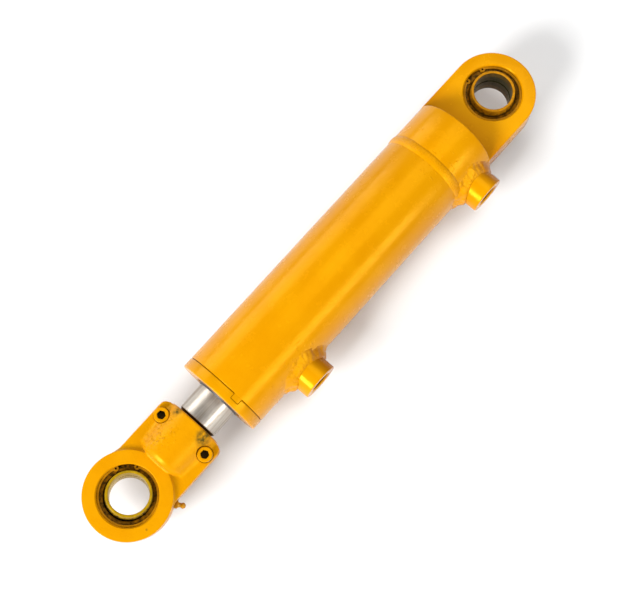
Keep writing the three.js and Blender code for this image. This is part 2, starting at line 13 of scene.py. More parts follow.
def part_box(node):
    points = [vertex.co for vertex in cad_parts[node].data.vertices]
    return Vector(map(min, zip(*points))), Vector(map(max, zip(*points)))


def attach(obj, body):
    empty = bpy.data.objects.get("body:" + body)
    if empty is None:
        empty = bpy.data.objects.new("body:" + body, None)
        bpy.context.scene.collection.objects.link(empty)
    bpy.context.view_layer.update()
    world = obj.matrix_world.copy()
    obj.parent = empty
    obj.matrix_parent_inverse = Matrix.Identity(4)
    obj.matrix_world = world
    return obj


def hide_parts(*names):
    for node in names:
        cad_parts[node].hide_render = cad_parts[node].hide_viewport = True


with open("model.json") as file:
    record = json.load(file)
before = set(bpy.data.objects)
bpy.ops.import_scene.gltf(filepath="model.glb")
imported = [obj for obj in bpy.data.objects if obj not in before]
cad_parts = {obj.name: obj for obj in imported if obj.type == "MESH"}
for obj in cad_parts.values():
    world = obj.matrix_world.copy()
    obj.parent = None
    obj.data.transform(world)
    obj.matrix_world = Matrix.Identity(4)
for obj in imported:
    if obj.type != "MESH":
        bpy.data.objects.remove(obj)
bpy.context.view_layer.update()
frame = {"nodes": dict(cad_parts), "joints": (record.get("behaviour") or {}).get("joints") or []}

MM = 0.001
FINE = 160      # sides of the large round pieces
MEDIUM = 112    # sides of rings
SMALL = 48      # sides of screws and holes
SHARP = 35      # degrees between faces from which an edge stays sharp
SAME_POINT = 1e-4
CORNER_SHARE = 0.45     # the share of an edge that one rounded corner may take
random.seed(7)


def low(node):
    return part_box(node)[0] / MM


def high(node):
    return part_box(node)[1] / MM


# ---- places, from the frame

TUBE_R = high("base_end").z
TUBE_START = low("cylinder_tube").x
BASE_STEP = TUBE_START - 0.3    # the base end's shoulder, a gap short of the tube
SEAM = 418.0                    # the tube ends here, and the gland's flange follows
SEAM_GAP = 0.6
GLAND_FRONT = high("gland").x
BASE_SPIGOT = high("base_end").x
RIM = 59.0                      # the base end is round from here on
BASE_EYE_R = -low("base_end").x
EYE_HALF = 16.0                 # half the thickness of both eyes
PORT_Y = high("head_port_boss").y
PORT_R = (high("head_port_boss").x - low("head_port_boss").x) / 2
BASE_PORT = (high("base_port_boss").x + low("base_port_boss").x) / 2
HEAD_PORT = (high("head_port_boss").x + low("head_port_boss").x) / 2
ROD_R = high("piston_rod").z
ROD_END = 463.4                 # the chromed part ends here, and the thread follows
BORE_R = 40.0                   # of the tube
PORT_HOLE_R = 7.5               # of the oil holes under the ports

ROD_BEARING = next(j for j in frame["joints"] if j["name"] == "rod_bearing")
EYE_X = ROD_BEARING["pos_m"][0] / MM
RING_AXIS = Vector(ROD_BEARING["axis"])
ROLL = math.atan2(-RING_AXIS.y, RING_AXIS.z)
TILT = math.asin(RING_AXIS.x)

BASE_PLACE = Matrix.Identity(4)
ROD_PLACE = Matrix.Translation((EYE_X * MM, 0, 0)) @ Matrix.Rotation(ROLL, 4, "X")
ROD_RING_PLACE = ROD_PLACE @ Matrix.Rotation(TILT, 4, "Y")

# Both eyes hold the same bearing.
HOUSING_R = 31.0
CLIP_GROOVE_R = 32.6
CLIP_GROOVE = (11.0, 13.6)
SPHERE_R = 26.4
COLLAR_R = 23.0
PIN_R = 20.0
RING_BORE_R = PIN_R + 0.25
COLLAR_END = high("base_bearing_inner_ring").z
OUTER_HALF = high("base_bearing_outer_ring").z
BASE_CLIP_GAP = math.radians(-98)
ROD_CLIP_GAP = math.radians(-134)


# ---- mesh helpers


def finished(name, mesh, place=None, sharp=SHARP):
    """A mesh in millimetres becomes an object in metres, smooth but for its sharp edges."""
    mesh.transform(Matrix.Scale(MM, 4))
    return shown(bpy.data.objects.new(name, mesh), place, sharp)


def linked(obj):
    bpy.context.scene.collection.objects.link(obj)
    return obj


def shown(obj, place=None, sharp=SHARP):
    linked(obj)
    if place is not None:
        obj.matrix_world = place
    obj.data.polygons.foreach_set("use_smooth", [True] * len(obj.data.polygons))
    obj.data.set_sharp_from_angle(angle=math.radians(sharp))
    return obj


def mesh_of(points, faces):
    mesh = bpy.data.meshes.new("made")
    mesh.from_pydata(points, [], faces)
    bm = bmesh.new()
    bm.from_mesh(mesh)
    bmesh.ops.remove_doubles(bm, verts=bm.verts, dist=SAME_POINT)
    bmesh.ops.recalc_face_normals(bm, faces=bm.faces)
    bm.to_mesh(mesh)
    bm.free()
    return mesh


def softened(profile, radii, steps=3, closed=True):
    """The profile with its corners rounded, each by its own radius."""
    count = len(profile)
    out = []
    for i, point in enumerate(profile):
        here = Vector(point)
        if radii[i] == 0 or (not closed and i in (0, count - 1)):
            out.append(tuple(here))
            continue
        before = Vector(profile[i - 1]) - here
        after = Vector(profile[(i + 1) % count]) - here
        reach = min(radii[i], before.length * CORNER_SHARE, after.length * CORNER_SHARE)
        start = here + before.normalized() * reach
        end = here + after.normalized() * reach
        for k in range(steps + 1):
            t = k / steps
            out.append(tuple(start * (1 - t) ** 2 + here * 2 * t * (1 - t) + end * t * t))
    return out


def turned(profile, sides, axis="X"):
    """A closed turned mesh. Profile points are (place along the axis, radius)."""
    closed = all(radius > 1e-6 for _, radius in profile)
    points, faces = [], []
    for along, radius in profile:
        for k in range(sides):
            angle = 2 * math.pi * k / sides
            a, b = radius * math.cos(angle), radius * math.sin(angle)
            points.append({"X": (along, a, b), "Y": (b, along, a), "Z": (a, b, along)}[axis])
    count = len(profile)
    for i in range(count if closed else count - 1):
        j = (i + 1) % count
        for k in range(sides):
            n = (k + 1) % sides
            faces.append((i * sides + k, j * sides + k, j * sides + n, i * sides + n))
    return mesh_of(points, faces)


def stacked(points, count):
    """A closed mesh through layers of count points each."""
    layers = len(points) // count
    faces = [tuple(range(count))[::-1], tuple(range((layers - 1) * count, layers * count))]
    for a in range(0, (layers - 1) * count, count):
        for i in range(count):
            j = (i + 1) % count
            faces.append((a + i, a + j, a + count + j, a + count + i))
    return mesh_of(points, faces)


def hooped(points, count):
    """A closed mesh through hoops of count points each, the last one joined to the first."""
    faces = []
    for k in range(0, len(points), count):
        n = (k + count) % len(points)
        for i in range(count):
            j = (i + 1) % count
            faces.append((k + i, k + j, n + j, n + i))
    return mesh_of(points, faces)


def prism(outline, z0, z1):
    """A closed prism along Z over an outline of (x, y) points."""
    return stacked([(x, y, z) for z in (z0, z1) for x, y in outline], len(outline))


def arc(cx, cy, radius, start, end, steps):
    angles = [start + (end - start) * k / steps for k in range(steps + 1)]
    return [(cx + radius * math.cos(angle), cy + radius * math.sin(angle)) for angle in angles]


def slab(outline, z0, z1, edge, steps=3):
    """A plate over an outline, with its edges rounded by edge."""
    points = [Vector(p) for p in outline]
    points = [p for i, p in enumerate(points) if (p - points[i - 1]).length > SAME_POINT]
    turn = sum(a.x * b.y - b.x * a.y for a, b in zip(points, points[1:] + points[:1]))
    side = 1 if turn > 0 else -1
    inward = []
    for i, point in enumerate(points):
        back = (point - points[i - 1]).normalized()
        ahead = (points[(i + 1) % len(points)] - point).normalized()
        first, second = Vector((-back.y, back.x)), Vector((-ahead.y, ahead.x))
        inward.append((first + second) * side / (1 + first.dot(second)))
    layers = []
    for k in range(steps + 1):
        angle = math.pi / 2 * k / steps
        layers.append((edge * (1 - math.cos(angle)), edge * (1 - math.sin(angle))))
    stack = [(z0 + rise, inset) for rise, inset in layers]
    stack += [(z1 - rise, inset) for rise, inset in reversed(layers)]
    verts = [(*(p + n * inset), z) for z, inset in stack for p, n in zip(points, inward)]
    return stacked(verts, len(points))


def rod_along(axis, a, b, radius, sides=SMALL):
    return turned([(a, 0), (a, radius), (b, radius), (b, 0)], sides, axis)


def threaded(start, end, radius, pitch, depth):
    """Profile points of a run of thread. depth is positive in a bore and negative on a shaft."""
    root = radius + depth
    points = []
    for k in range(int((end - start) / pitch)):
        at = start + k * pitch
        points += [(at, radius), (at + pitch * 0.42, root), (at + pitch * 0.58, root)]
    return points


def loose(mesh):
    """A throwaway object in millimetres, for boolean work."""
    return linked(bpy.data.objects.new("tool", mesh))


def drop(obj):
    mesh = obj.data
    bpy.data.objects.remove(obj)
    if mesh.users == 0:
        bpy.data.meshes.remove(mesh)


def bake(obj):
    """Applies obj's modifiers."""
    bpy.context.view_layer.update()
    graph = bpy.context.evaluated_depsgraph_get()
    made = bpy.data.meshes.new_from_object(obj.evaluated_get(graph))
    obj.modifiers.clear()
    old = obj.data
    obj.data = made
    bpy.data.meshes.remove(old)


def combine(obj, tools, operation):
    for tool in tools:
        step = obj.modifiers.new("step", "BOOLEAN")
        step.operation = operation
        step.solver = "MANIFOLD"
        step.object = tool
        bake(obj)
        drop(tool)


def cut(obj, *meshes):
    combine(obj, [loose(m) for m in meshes], "DIFFERENCE")


def join(obj, *meshes):
    combine(obj, [loose(m) for m in meshes], "UNION")


def moved(mesh, matrix):
    mesh.transform(matrix)
    return mesh


def from_tool(name, obj, place=None, sharp=SHARP):
    mesh = obj.data.copy()
    drop(obj)
    return finished(name, mesh, place, sharp)


def wobble(point, size, seed):
    """Smooth noise from -1 to 1 with features of about that size, in the mesh's own unit."""
    offset = Vector((seed * 13.7, seed * 5.1, seed * 9.3))
    return noise.noise(Vector(point) / size + offset)


# ---- material helpers


class Graph:
    """A small builder for one material's nodes."""

    def __init__(self, name):
        self.material = bpy.data.materials.new(name)
        self.material.use_nodes = True
        self.tree = self.material.node_tree
        self.tree.nodes.clear()
        self.shader = self.node("ShaderNodeBsdfPrincipled")
        output = self.node("ShaderNodeOutputMaterial")
        self.link(self.shader.outputs["BSDF"], output.inputs["Surface"])
        self.place = self.node("ShaderNodeTexCoord").outputs["Object"]
        self.bumps = None

    def node(self, kind, **settings):
        made = self.tree.nodes.new(kind)
        for key, value in settings.items():
            setattr(made, key, value)
        return made

    def link(self, source, target):
        self.tree.links.new(source, target)

    def feed(self, target, value):
        if isinstance(value, (int, float, tuple)):
            target.default_value = value
        else:
            self.link(value, target)

    def math(self, operation, a, b=0.0, clamp=False):
        made = self.node("ShaderNodeMath", operation=operation, use_clamp=clamp)
        self.feed(made.inputs[0], a)
        self.feed(made.inputs[1], b)
        return made.outputs[0]

    def times(self, a, b):
        return self.math("MULTIPLY", a, b)

    def axes(self):
        split = self.node("ShaderNodeSeparateXYZ")
        self.link(self.place, split.inputs[0])
        return split.outputs[0], split.outputs[1], split.outputs[2]

    def stretched(self, scale):
        made = self.node("ShaderNodeMapping")
        self.link(self.place, made.inputs["Vector"])
        made.inputs["Scale"].default_value = scale
        return made.outputs[0]

    def noise(self, size_mm, detail=2.0, roughness=0.5, place=None, warp=0.0):
        """Noise from 0 to 1 with features of about size_mm."""
        made = self.node("ShaderNodeTexNoise")
        self.link(place or self.place, made.inputs["Vector"])
        made.inputs["Scale"].default_value = 1 / (size_mm * MM)
        made.inputs["Detail"].default_value = detail
        made.inputs["Roughness"].default_value = roughness
        made.inputs["Distortion"].default_value = warp
        return made.outputs["Fac"]

    def cells(self, size_mm):
        made = self.node("ShaderNodeTexVoronoi")
        self.link(self.place, made.inputs["Vector"])
        made.inputs["Scale"].default_value = 1 / (size_mm * MM)
        return made.outputs["Distance"]

    def span(self, value, start, end, to_start=0.0, to_end=1.0):
        made = self.node("ShaderNodeMapRange", interpolation_type="SMOOTHSTEP")
        self.link(value, made.inputs["Value"])
        made.inputs["From Min"].default_value = start
        made.inputs["From Max"].default_value = end
        made.inputs["To Min"].default_value = to_start
        made.inputs["To Max"].default_value = to_end
        return made.outputs["Result"]

    def near(self, centre_mm, inner_mm, outer_mm):
        """1 within inner_mm of a point in the piece's own frame, 0 past outer_mm."""
        made = self.node("ShaderNodeVectorMath", operation="DISTANCE")
        self.link(self.place, made.inputs[0])
        made.inputs[1].default_value = tuple(c * MM for c in centre_mm)
        return self.span(made.outputs["Value"], inner_mm * MM, outer_mm * MM, 1.0, 0.0)

    def between(self, kind, **values):
        made = self.node("ShaderNodeMix", data_type=kind)
        for key, value in values.items():
            self.feed(made.inputs[key], value)
        return made.outputs["Result"]

    def mix(self, factor, a, b):
        return self.between("RGBA", Factor=factor, A=rgba(a), B=rgba(b))

    def blend(self, factor, a, b):
        return self.between("FLOAT", Factor=factor, A=a, B=b)

    def bump(self, height, depth_mm, strength=1.0):
        made = self.node("ShaderNodeBump")
        made.inputs["Strength"].default_value = strength
        made.inputs["Distance"].default_value = depth_mm * MM
        self.feed(made.inputs["Height"], height)
        if self.bumps is not None:
            self.link(self.bumps, made.inputs["Normal"])
        self.bumps = made.outputs["Normal"]
        self.link(self.bumps, self.shader.inputs["Normal"])

    def set(self, **values):
        for key, value in values.items():
            self.feed(self.shader.inputs[key.replace("_", " ")], value)


def scaled(colour, share):
    return tuple(c * share for c in colour)


def rgba(colour):
    if isinstance(colour, tuple) and len(colour) == 3:
        return (*colour, 1.0)
    return colour


AMBER = (0.5, 0.205, 0.0003)
AMBER_DEEP = (0.485, 0.192, 0.0002)
AMBER_LIGHT = (0.515, 0.217, 0.0006)
# Painted shade: a browner amber laid where shade falls.
AMBER_PAINTED_SHADE = (0.29, 0.085, 0.0002)
OLD_AMBER = (0.4, 0.16, 0.002)
BROWN = (0.2, 0.075, 0.001)
OLIVE = (0.34, 0.2, 0.002)
# Dirt, also used as painted shade in hollows.
GRIME_AND_SHADE = (0.05, 0.036, 0.006)
# Near-black grease, also painted shade on the bearings' balls.
GREASE_AND_SHADE = (0.012, 0.009, 0.004)


def paint(name, peel=0.05, cast=0.0, roughness=0.22, spatter=(), grime_and_shade=(), weld=False, drawn_and_reflection_streaks=0.0,
          painted_shade=()):
    """Orange-yellow enamel. spatter is (centre, inner, outer, depth) in the piece's frame. The dark
    patches, dirt that also paints shade, are (centre, inner, outer) there, and the browner stretches of
    painted shade are (start, full, stop) along X."""
    g = Graph(name)
    clouds = g.noise(38, 3.0, 0.55)
    fine = g.noise(6, 3.0, 0.6)
    colour = g.mix(g.span(clouds, 0.3, 0.7), AMBER_DEEP, AMBER_LIGHT)
    colour = g.mix(g.span(fine, 0.25, 0.8, 0.0, 0.35), colour, AMBER)
    rough = g.span(g.noise(14, 4.0, 0.65), 0.3, 0.75, roughness - 0.05, roughness + 0.09)
    g.bump(g.noise(2.6, 2.0, 0.5), peel)
    if drawn_and_reflection_streaks:
        lines = g.noise(3.0, 3.0, 0.6, place=g.stretched((0.015, 1.0, 1.0)))
        g.bump(lines, drawn_and_reflection_streaks)
        # Painted reflection: faint darker streaks along the tube.
        colour = g.mix(g.span(lines, 0.35, 0.7, 0.0, 0.3), colour, AMBER_DEEP)
    if cast:
        pits = g.noise(1.3, 3.0, 0.6)
        lumps = g.noise(5.5, 2.0, 0.5)
        g.bump(lumps, cast * 2.2, 0.7)
        g.bump(pits, cast, 0.8)
    if weld:
        g.bump(g.noise(1.8, 3.0, 0.6, warp=0.6), 0.5, 0.8)
    # Painted shade: browner paint along X, beside the ports and by the base's rim.
    for start, full, stop in painted_shade:
        x = g.axes()[0]
        shade_share = g.times(g.span(x, start * MM, full * MM), g.span(x, full * MM, stop * MM, 1.0, 0.0))
        colour = g.mix(g.times(shade_share, 0.85), colour, AMBER_PAINTED_SHADE)
    for centre, inner, outer, depth in spatter:
        grains = g.span(g.noise(2.4, 1.0), 0.54, 0.72)
        patchy = g.span(g.noise(9, 2.0), 0.42, 0.58)
        mask = g.times(g.near(centre, inner, outer), patchy)
        g.bump(g.times(grains, mask), depth, 0.9)
        rough = g.blend(mask, rough, 0.12)
    # Dark patches: dirt, which in hollows also stands in as painted shade.
    for centre, inner, outer in grime_and_shade:
        stain = g.span(g.noise(4.5, 3.0, 0.6), 0.3, 0.62, 0.25, 1.0)
        mask = g.times(g.near(centre, inner, outer), stain)
        colour = g.mix(mask, colour, GRIME_AND_SHADE)
        rough = g.blend(mask, rough, 0.7)
    g.set(Base_Color=colour, Roughness=rough, Specular_IOR_Level=0.5)
    g.set(Specular_Tint=(1.0, 0.6, 0.02, 1.0))
    return g.material


def oversprayed(name, metal, metal_roughness, cover, patch_mm=2.5, mask=None, greased_and_shaded=None,
                tone=AMBER, metallic=1.0):
    """Metal with stray paint of that tone on it. cover is the painted share, mask limits where it
    is, and the grease mask says where the metal is near black: dark grease that is also painted shade."""
    g = Graph(name)
    patches = g.span(g.noise(patch_mm, 3.0, 0.55), 0.62 - cover, 1.02 - cover)
    if mask is not None:
        patches = mask(g, patches)
    worn = g.noise(9, 3.0, 0.6)
    steel = g.mix(g.span(worn, 0.3, 0.75), metal, scaled(metal, 0.55))
    # Near black on the ball: grease, and painted shade in the gap between the rings.
    if greased_and_shaded:
        steel = g.mix(greased_and_shaded(g), steel, GREASE_AND_SHADE)
    coat = g.mix(g.span(g.noise(4, 3.0), 0.3, 0.7), scaled(tone, 0.7), tone)
    g.bump(g.noise(1.2, 3.0, 0.6), 0.05, 0.6)
    g.set(Base_Color=g.mix(patches, steel, coat))
    g.set(Metallic=g.times(g.math("SUBTRACT", 1.0, patches, clamp=True), metallic))
    g.set(Specular_IOR_Level=0.2, Specular_Tint=(1.0, 0.7, 0.2, 1.0))
    rough = g.span(g.noise(3, 4.0, 0.7), 0.3, 0.7, metal_roughness - 0.08, metal_roughness + 0.12)
    g.set(Roughness=g.blend(patches, rough, 0.32))
    return g.material


def radius_of(g):
    """The distance from the piece's own Z axis, in metres."""
    x, y, _ = g.axes()
    return g.math("SQRT", g.math("ADD", g.times(x, x), g.times(y, y)))


def shaded_ball_mask(g):
    """The ball stands out past the collars. There it is near black, grease that also paints the shade in
    the gap between the rings.
    """
    return g.span(radius_of(g), (COLLAR_R + 0.05) * MM, (COLLAR_R + 0.5) * MM)


def collar_mask(g, patches):
    """Paint sits on the collars' end faces and chamfers, thins out down their sides, and
    leaves the bore and the ball bare."""
    height = g.math("ABSOLUTE", g.axes()[2])
    radius = radius_of(g)
    face = g.span(height, (COLLAR_END - 0.9) * MM, (COLLAR_END - 0.25) * MM)
    side = g.span(height, 9 * MM, 13 * MM)
    outside = g.span(radius, (PIN_R + 0.15) * MM, (PIN_R + 0.5) * MM)
    cover = g.math("MAXIMUM", face, g.times(side, patches))
    return g.times(cover, outside)


def chrome(name):
    g = Graph(name)
    rings = g.noise(0.35, 2.0, 0.6, place=g.stretched((1.0, 0.02, 0.02)))
    bands = g.noise(16, 3.0, 0.6, place=g.stretched((1.0, 0.15, 0.15)))
    streaks = g.span(g.noise(4.5, 3.0, 0.6, place=g.stretched((0.03, 1.0, 1.0))), 0.35, 0.68)
    film = g.span(g.noise(11, 4.0, 0.7), 0.5, 0.8, 0.0, 0.35)
    colour = g.mix(streaks, (0.52, 0.48, 0.425), (0.31, 0.265, 0.215))
    colour = g.mix(film, colour, (0.38, 0.32, 0.25))
    # The end chamfer is near black: bare steel, and painted shade in the gap beside the eye's shank.
    bare = g.span(g.axes()[0], (ROD_END - 2.6) * MM, (ROD_END - 2.1) * MM)
    colour = g.mix(bare, colour, (0.05, 0.045, 0.04))
    g.bump(rings, 0.004, 0.5)
    g.set(Base_Color=colour, Metallic=1.0)
    g.set(Roughness=g.span(bands, 0.3, 0.7, 0.34, 0.44))
    return g.material


def turned_steel(name, colour, roughness=0.3, line_mm=0.5):
    """Lathe-turned steel, with fine lines round X."""
    g = Graph(name)
    lines = g.noise(line_mm, 2.0, 0.6, place=g.stretched((1.0, 0.03, 0.03)))
    stain = g.span(g.noise(15, 4.0, 0.65), 0.4, 0.8, 0.0, 0.5)
    g.bump(lines, 0.02, 0.6)
    g.set(Base_Color=g.mix(stain, colour, scaled(colour, 0.6)), Metallic=1.0)
    g.set(Roughness=g.span(lines, 0.25, 0.75, roughness - 0.06, roughness + 0.1))
    return g.material


def moulded(name, colour, roughness, weave=False):
    """Rubber or plastic with a faint mould grain, or a fabric weave."""
    g = Graph(name)
    grain = g.noise(1.2, 3.0, 0.6)
    tone = g.mix(g.span(g.noise(8, 3.0), 0.3, 0.75), colour, scaled(colour, 0.7))
    if weave:
        threads = g.cells(1.1)
        tone = g.mix(g.span(threads, 0.1, 0.5, 0.0, 0.5), tone, scaled(colour, 1.5))
        g.bump(threads, 0.08, 0.7)
    g.bump(grain, 0.03, 0.7)
    g.set(Base_Color=tone)
    g.set(Roughness=g.span(grain, 0.3, 0.7, roughness - 0.08, roughness + 0.08))
    return g.material


# Where weld spatter roughens the paint, and where shade is painted in as browner paint on the ports'
# sides away from the key light.
WELD_SPATTER = [((TUBE_START, 15, TUBE_R), 6, 36, 0.35), ((HEAD_PORT, TUBE_R, 12), 24, 42, 0.35)]
PORT_SHADE = [(x - PORT_R - 14, x - PORT_R + 2, x - 2) for x in (BASE_PORT, HEAD_PORT)]

PAINT_TUBE = paint("paint_tube", spatter=WELD_SPATTER, drawn_and_reflection_streaks=0.05)
# Painted shade on the eye plate next to the rim, where the round end shades it.
PAINT_BASE = paint(
    "paint_base", peel=0.06, spatter=[WELD_SPATTER[0]], painted_shade=[(14, RIM - 1, RIM + 0.5)])
# Painted shade on the sides of the ports and their welds that face away from the key light.
PAINT_PORTS = paint("paint_ports", peel=0.07, painted_shade=PORT_SHADE)
PAINT_WELD = paint("paint_weld", peel=0.1, weld=True, roughness=0.14, painted_shade=PORT_SHADE)
PAINT_GLAND = paint("paint_gland", peel=0.05)
# The first two dark patches paint shade into the hollows where the shank's end meets the ears; the last
# is a small mark on the ring's face.
PAINT_CASTING = paint(
    "paint_casting", peel=0.08, cast=0.09, roughness=0.32, spatter=[((-66, -18, 24), 8, 26, 0.6)],
    grime_and_shade=[((-91, 17, 23), 4, 12), ((-93, -19, 22), 1, 8), ((11.5, 36.5, 16), 0.5, 1.8)],
)
PAINT_SCREWS = paint("paint_screws", peel=0.05, roughness=0.26)
CHROME = chrome("chrome_rod")
# The base ring's steel is a far darker, less metallic copy of the rod ring's: painted shade in the base
# eye's bore.
BASE_INNER = oversprayed(
    "base_bearing_inner", (0.02, 0.022, 0.006), 0.34, 0.42, mask=collar_mask, greased_and_shaded=shaded_ball_mask,
    tone=OLD_AMBER, metallic=0.35)
ROD_INNER = oversprayed(
    "rod_bearing_inner", (0.34, 0.33, 0.3), 0.2, 0.42, mask=collar_mask, greased_and_shaded=shaded_ball_mask,
    tone=OLIVE)
BEARING_OUTER = oversprayed(
    "bearing_outer", (0.008, 0.004, 0.001), 0.42, 0.34, 3.5, tone=BROWN, metallic=0.1)
CIRCLIP = oversprayed("circlip", (0.06, 0.02, 0.001), 0.36, 0.6, 3.0, tone=OLD_AMBER, metallic=0.1)
NIPPLE = oversprayed("nipple", (0.6, 0.33, 0.08), 0.3, 0.4, 1.6)
# Oily bare steel for the screws' sockets, dark enough to be painted shade too.
SOCKET_STEEL_AND_SHADE = oversprayed("screw_socket_and_shade", (0.022, 0.012, 0.004), 0.45, 0.12, 1.5, tone=BROWN, metallic=0.2)
MACHINED = turned_steel("machined_steel", (0.5, 0.49, 0.48))
NUT = turned_steel("nut_steel", (0.4, 0.38, 0.35), 0.38, 0.9)
RUBBER = moulded("rubber", (0.022, 0.022, 0.023), 0.6)
WIPER = moulded("wiper", (0.03, 0.03, 0.034), 0.5)
POLYURETHANE = moulded("polyurethane", (0.05, 0.14, 0.33), 0.32)
PTFE = moulded("ptfe", (0.05, 0.15, 0.14), 0.4)
GUIDE_RING = moulded("guide_ring", (0.25, 0.13, 0.05), 0.55, weave=True)


def place_piece(obj, body, node, material):
    """Gives a new piece its body and its material, and hides the CAD node it stands for."""
    obj.data.materials.clear()
    obj.data.materials.append(material)
    if node:
        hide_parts(node)
    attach(obj, body)


# ---- barrel pieces


def housing_cutter():
    """What is bored out of an eye: the bearing's seat, two circlip grooves and two chamfers."""
    chamfer = 1.3
    past = EYE_HALF + 2
    half = [
        (CLIP_GROOVE[0], HOUSING_R), (CLIP_GROOVE[0], CLIP_GROOVE_R),
        (CLIP_GROOVE[1], CLIP_GROOVE_R), (CLIP_GROOVE[1], HOUSING_R),
        (EYE_HALF - chamfer, HOUSING_R), (past, HOUSING_R + chamfer + 2),
    ]
    profile = [(-past, 0)] + [(-z, r) for z, r in reversed(half)] + half + [(past, 0)]
    return turned(profile, FINE, "Z")


def make_base_end():
    """The eye and the cap that closes the tube, in one forging."""
    foot, edge = RIM + 3, 0.9
    outline = [(foot, -BASE_EYE_R), (foot, BASE_EYE_R)]
    outline += arc(0, 0, BASE_EYE_R, math.pi / 2, 3 * math.pi / 2, 80)
    base = loose(slab(outline, -EYE_HALF, EYE_HALF, edge))
    spigot_r, recess_r, recess_floor = BORE_R - 0.4, 30, 76
    profile = softened(
        [(RIM, 0), (RIM, TUBE_R), (BASE_STEP, TUBE_R), (BASE_STEP, spigot_r),
         (BASE_SPIGOT, spigot_r), (BASE_SPIGOT, recess_r), (recess_floor, recess_r), (recess_floor, 0)],
        [0, 1.3, 0.4, 0.4, 1, 1, 2, 0], closed=False,
    )
    join(base, turned(profile, FINE))
    hole = rod_along("Y", recess_r - 3, TUBE_R + 4, PORT_HOLE_R)
    cut(base, housing_cutter(), moved(hole, Matrix.Translation((BASE_PORT, 0, 0))))
    return from_tool("base_end_fine", base)


LOCK_ANGLE = math.radians(64)
LOCK_LENGTH = 6
LOCK_WIDTH = 9.6
LOCK_CORNER = 1.4


def lock_block(clearance, inner, outer):
    """The tongue of the tube that holds the gland, as a block at LOCK_ANGLE."""
    half = LOCK_WIDTH / 2 + clearance
    root, end = SEAM - 2, SEAM + LOCK_LENGTH + clearance
    outline = [(root, -half), (end, -half), (end, half), (root, half)]
    rounded = softened(outline, [0, LOCK_CORNER, LOCK_CORNER, 0], 5)
    return moved(prism(rounded, inner, outer), Matrix.Rotation(LOCK_ANGLE - math.pi / 2, 4, "X"))


def make_tube():
    profile = softened(
        [(TUBE_START, BORE_R), (TUBE_START, TUBE_R), (SEAM, TUBE_R), (SEAM, BORE_R)],
        [0.4, 0.8, 0.9, 0.4],
    )
    tube = loose(turned(profile, FINE))
    tongue = loose(lock_block(0, BORE_R - 4, TUBE_R + 2))
    inner, outer = BORE_R + 0.3, TUBE_R - 0.12
    layer = [(SEAM - 1, inner), (SEAM - 1, outer), (GLAND_FRONT, outer), (GLAND_FRONT, inner)]
    combine(tongue, [loose(turned(layer, FINE))], "INTERSECT")
    combine(tube, [tongue], "UNION")
    hole = rod_along("Y", BORE_R - 4, TUBE_R + 4, PORT_HOLE_R)
    cut(tube, moved(hole, Matrix.Translation((HEAD_PORT, 0, 0))))
    return from_tool("cylinder_tube_fine", tube)


def make_gland():
    bore_r, pilot_r, seal_r, wear_r, nose_r, oring_r = 23.2, 39.6, 28.5, 25.8, 34, 36
    nose, nose_end = low("gland").x, 362
    oring_start, oring_end = 384, 392
    flange, wiper_seat = SEAM + SEAM_GAP, 421.5
    outside = [(nose, bore_r), (nose, nose_r), (nose_end, nose_r), (nose_end, pilot_r),
               (oring_start, pilot_r), (oring_start, oring_r), (oring_end, oring_r),
               (oring_end, pilot_r), (flange, pilot_r), (flange, TUBE_R), (GLAND_FRONT, TUBE_R),
               (GLAND_FRONT, seal_r), (wiper_seat, seal_r), (wiper_seat, bore_r)]
    front_wear, rod_seal, rear_wear = (409.6, 418.4, wear_r), (396, 405.5, seal_r), (370, 378.8, wear_r)
    inside = []
    for back, front, radius in (front_wear, rod_seal, rear_wear):
        inside += [(front, bore_r), (front, radius), (back, radius), (back, bore_r)]
    radii = [0.5, 1.5, 0, 1.5, 0.3, 0, 0, 0.3, 0, 0.9, 1.5, 0.7, 0, 0.2] + [0.15] * len(inside)
    body = loose(turned(softened(outside + inside, radii), FINE))
    cut(body, lock_block(SEAM_GAP, BORE_R - 4, TUBE_R + 4))
    return from_tool("gland_fine", body)


def make_port_boss(name, x):
    """A threaded port for G 3/4, hollowed underneath to sit on the barrel."""
    thread_r, mouth_r, pitch, tooth, run_out = 12.1, 13.6, 1.814, 1.1, 2
    thread_end = PORT_Y - 17
    profile = softened(
        [(BORE_R, PORT_HOLE_R), (BORE_R, PORT_R), (PORT_Y, PORT_R), (PORT_Y, mouth_r),
         (PORT_Y - (mouth_r - thread_r), thread_r)],
        [0, 0, 1.1, 0.3, 0], closed=False,
    )
    teeth = threaded(thread_end + run_out, PORT_Y - run_out, thread_r, pitch, tooth)
    profile += list(reversed(teeth)) + [(thread_end, thread_r), (thread_end, PORT_HOLE_R)]
    boss = loose(moved(turned(profile, MEDIUM, "Y"), Matrix.Translation((x, 0, 0))))
    barrel = rod_along("X", x - PORT_R - 5, x + PORT_R + 5, TUBE_R + 0.1, FINE)
    cut(boss, barrel)
    return from_tool(name, boss)


def weld_section(width, rise, bulge):
    """(out, up) points of a fillet bead: full near its top on the wall, hollow towards its toe."""
    steps, points = 11, []
    slope = math.hypot(width, rise)
    for k in range(steps + 1):
        t = k / steps
        hump = math.sin(math.pi * t) * 1.5 * (bulge * (1 - t) - t)
        points.append((width * t + hump * rise / slope, rise * (1 - t) + hump * width / slope))
    return points


def saddle(out, across):
    """The barrel's height at that distance from a port's axis. across is the angle's sine."""
    return math.sqrt(TUBE_R ** 2 - (out * across) ** 2)


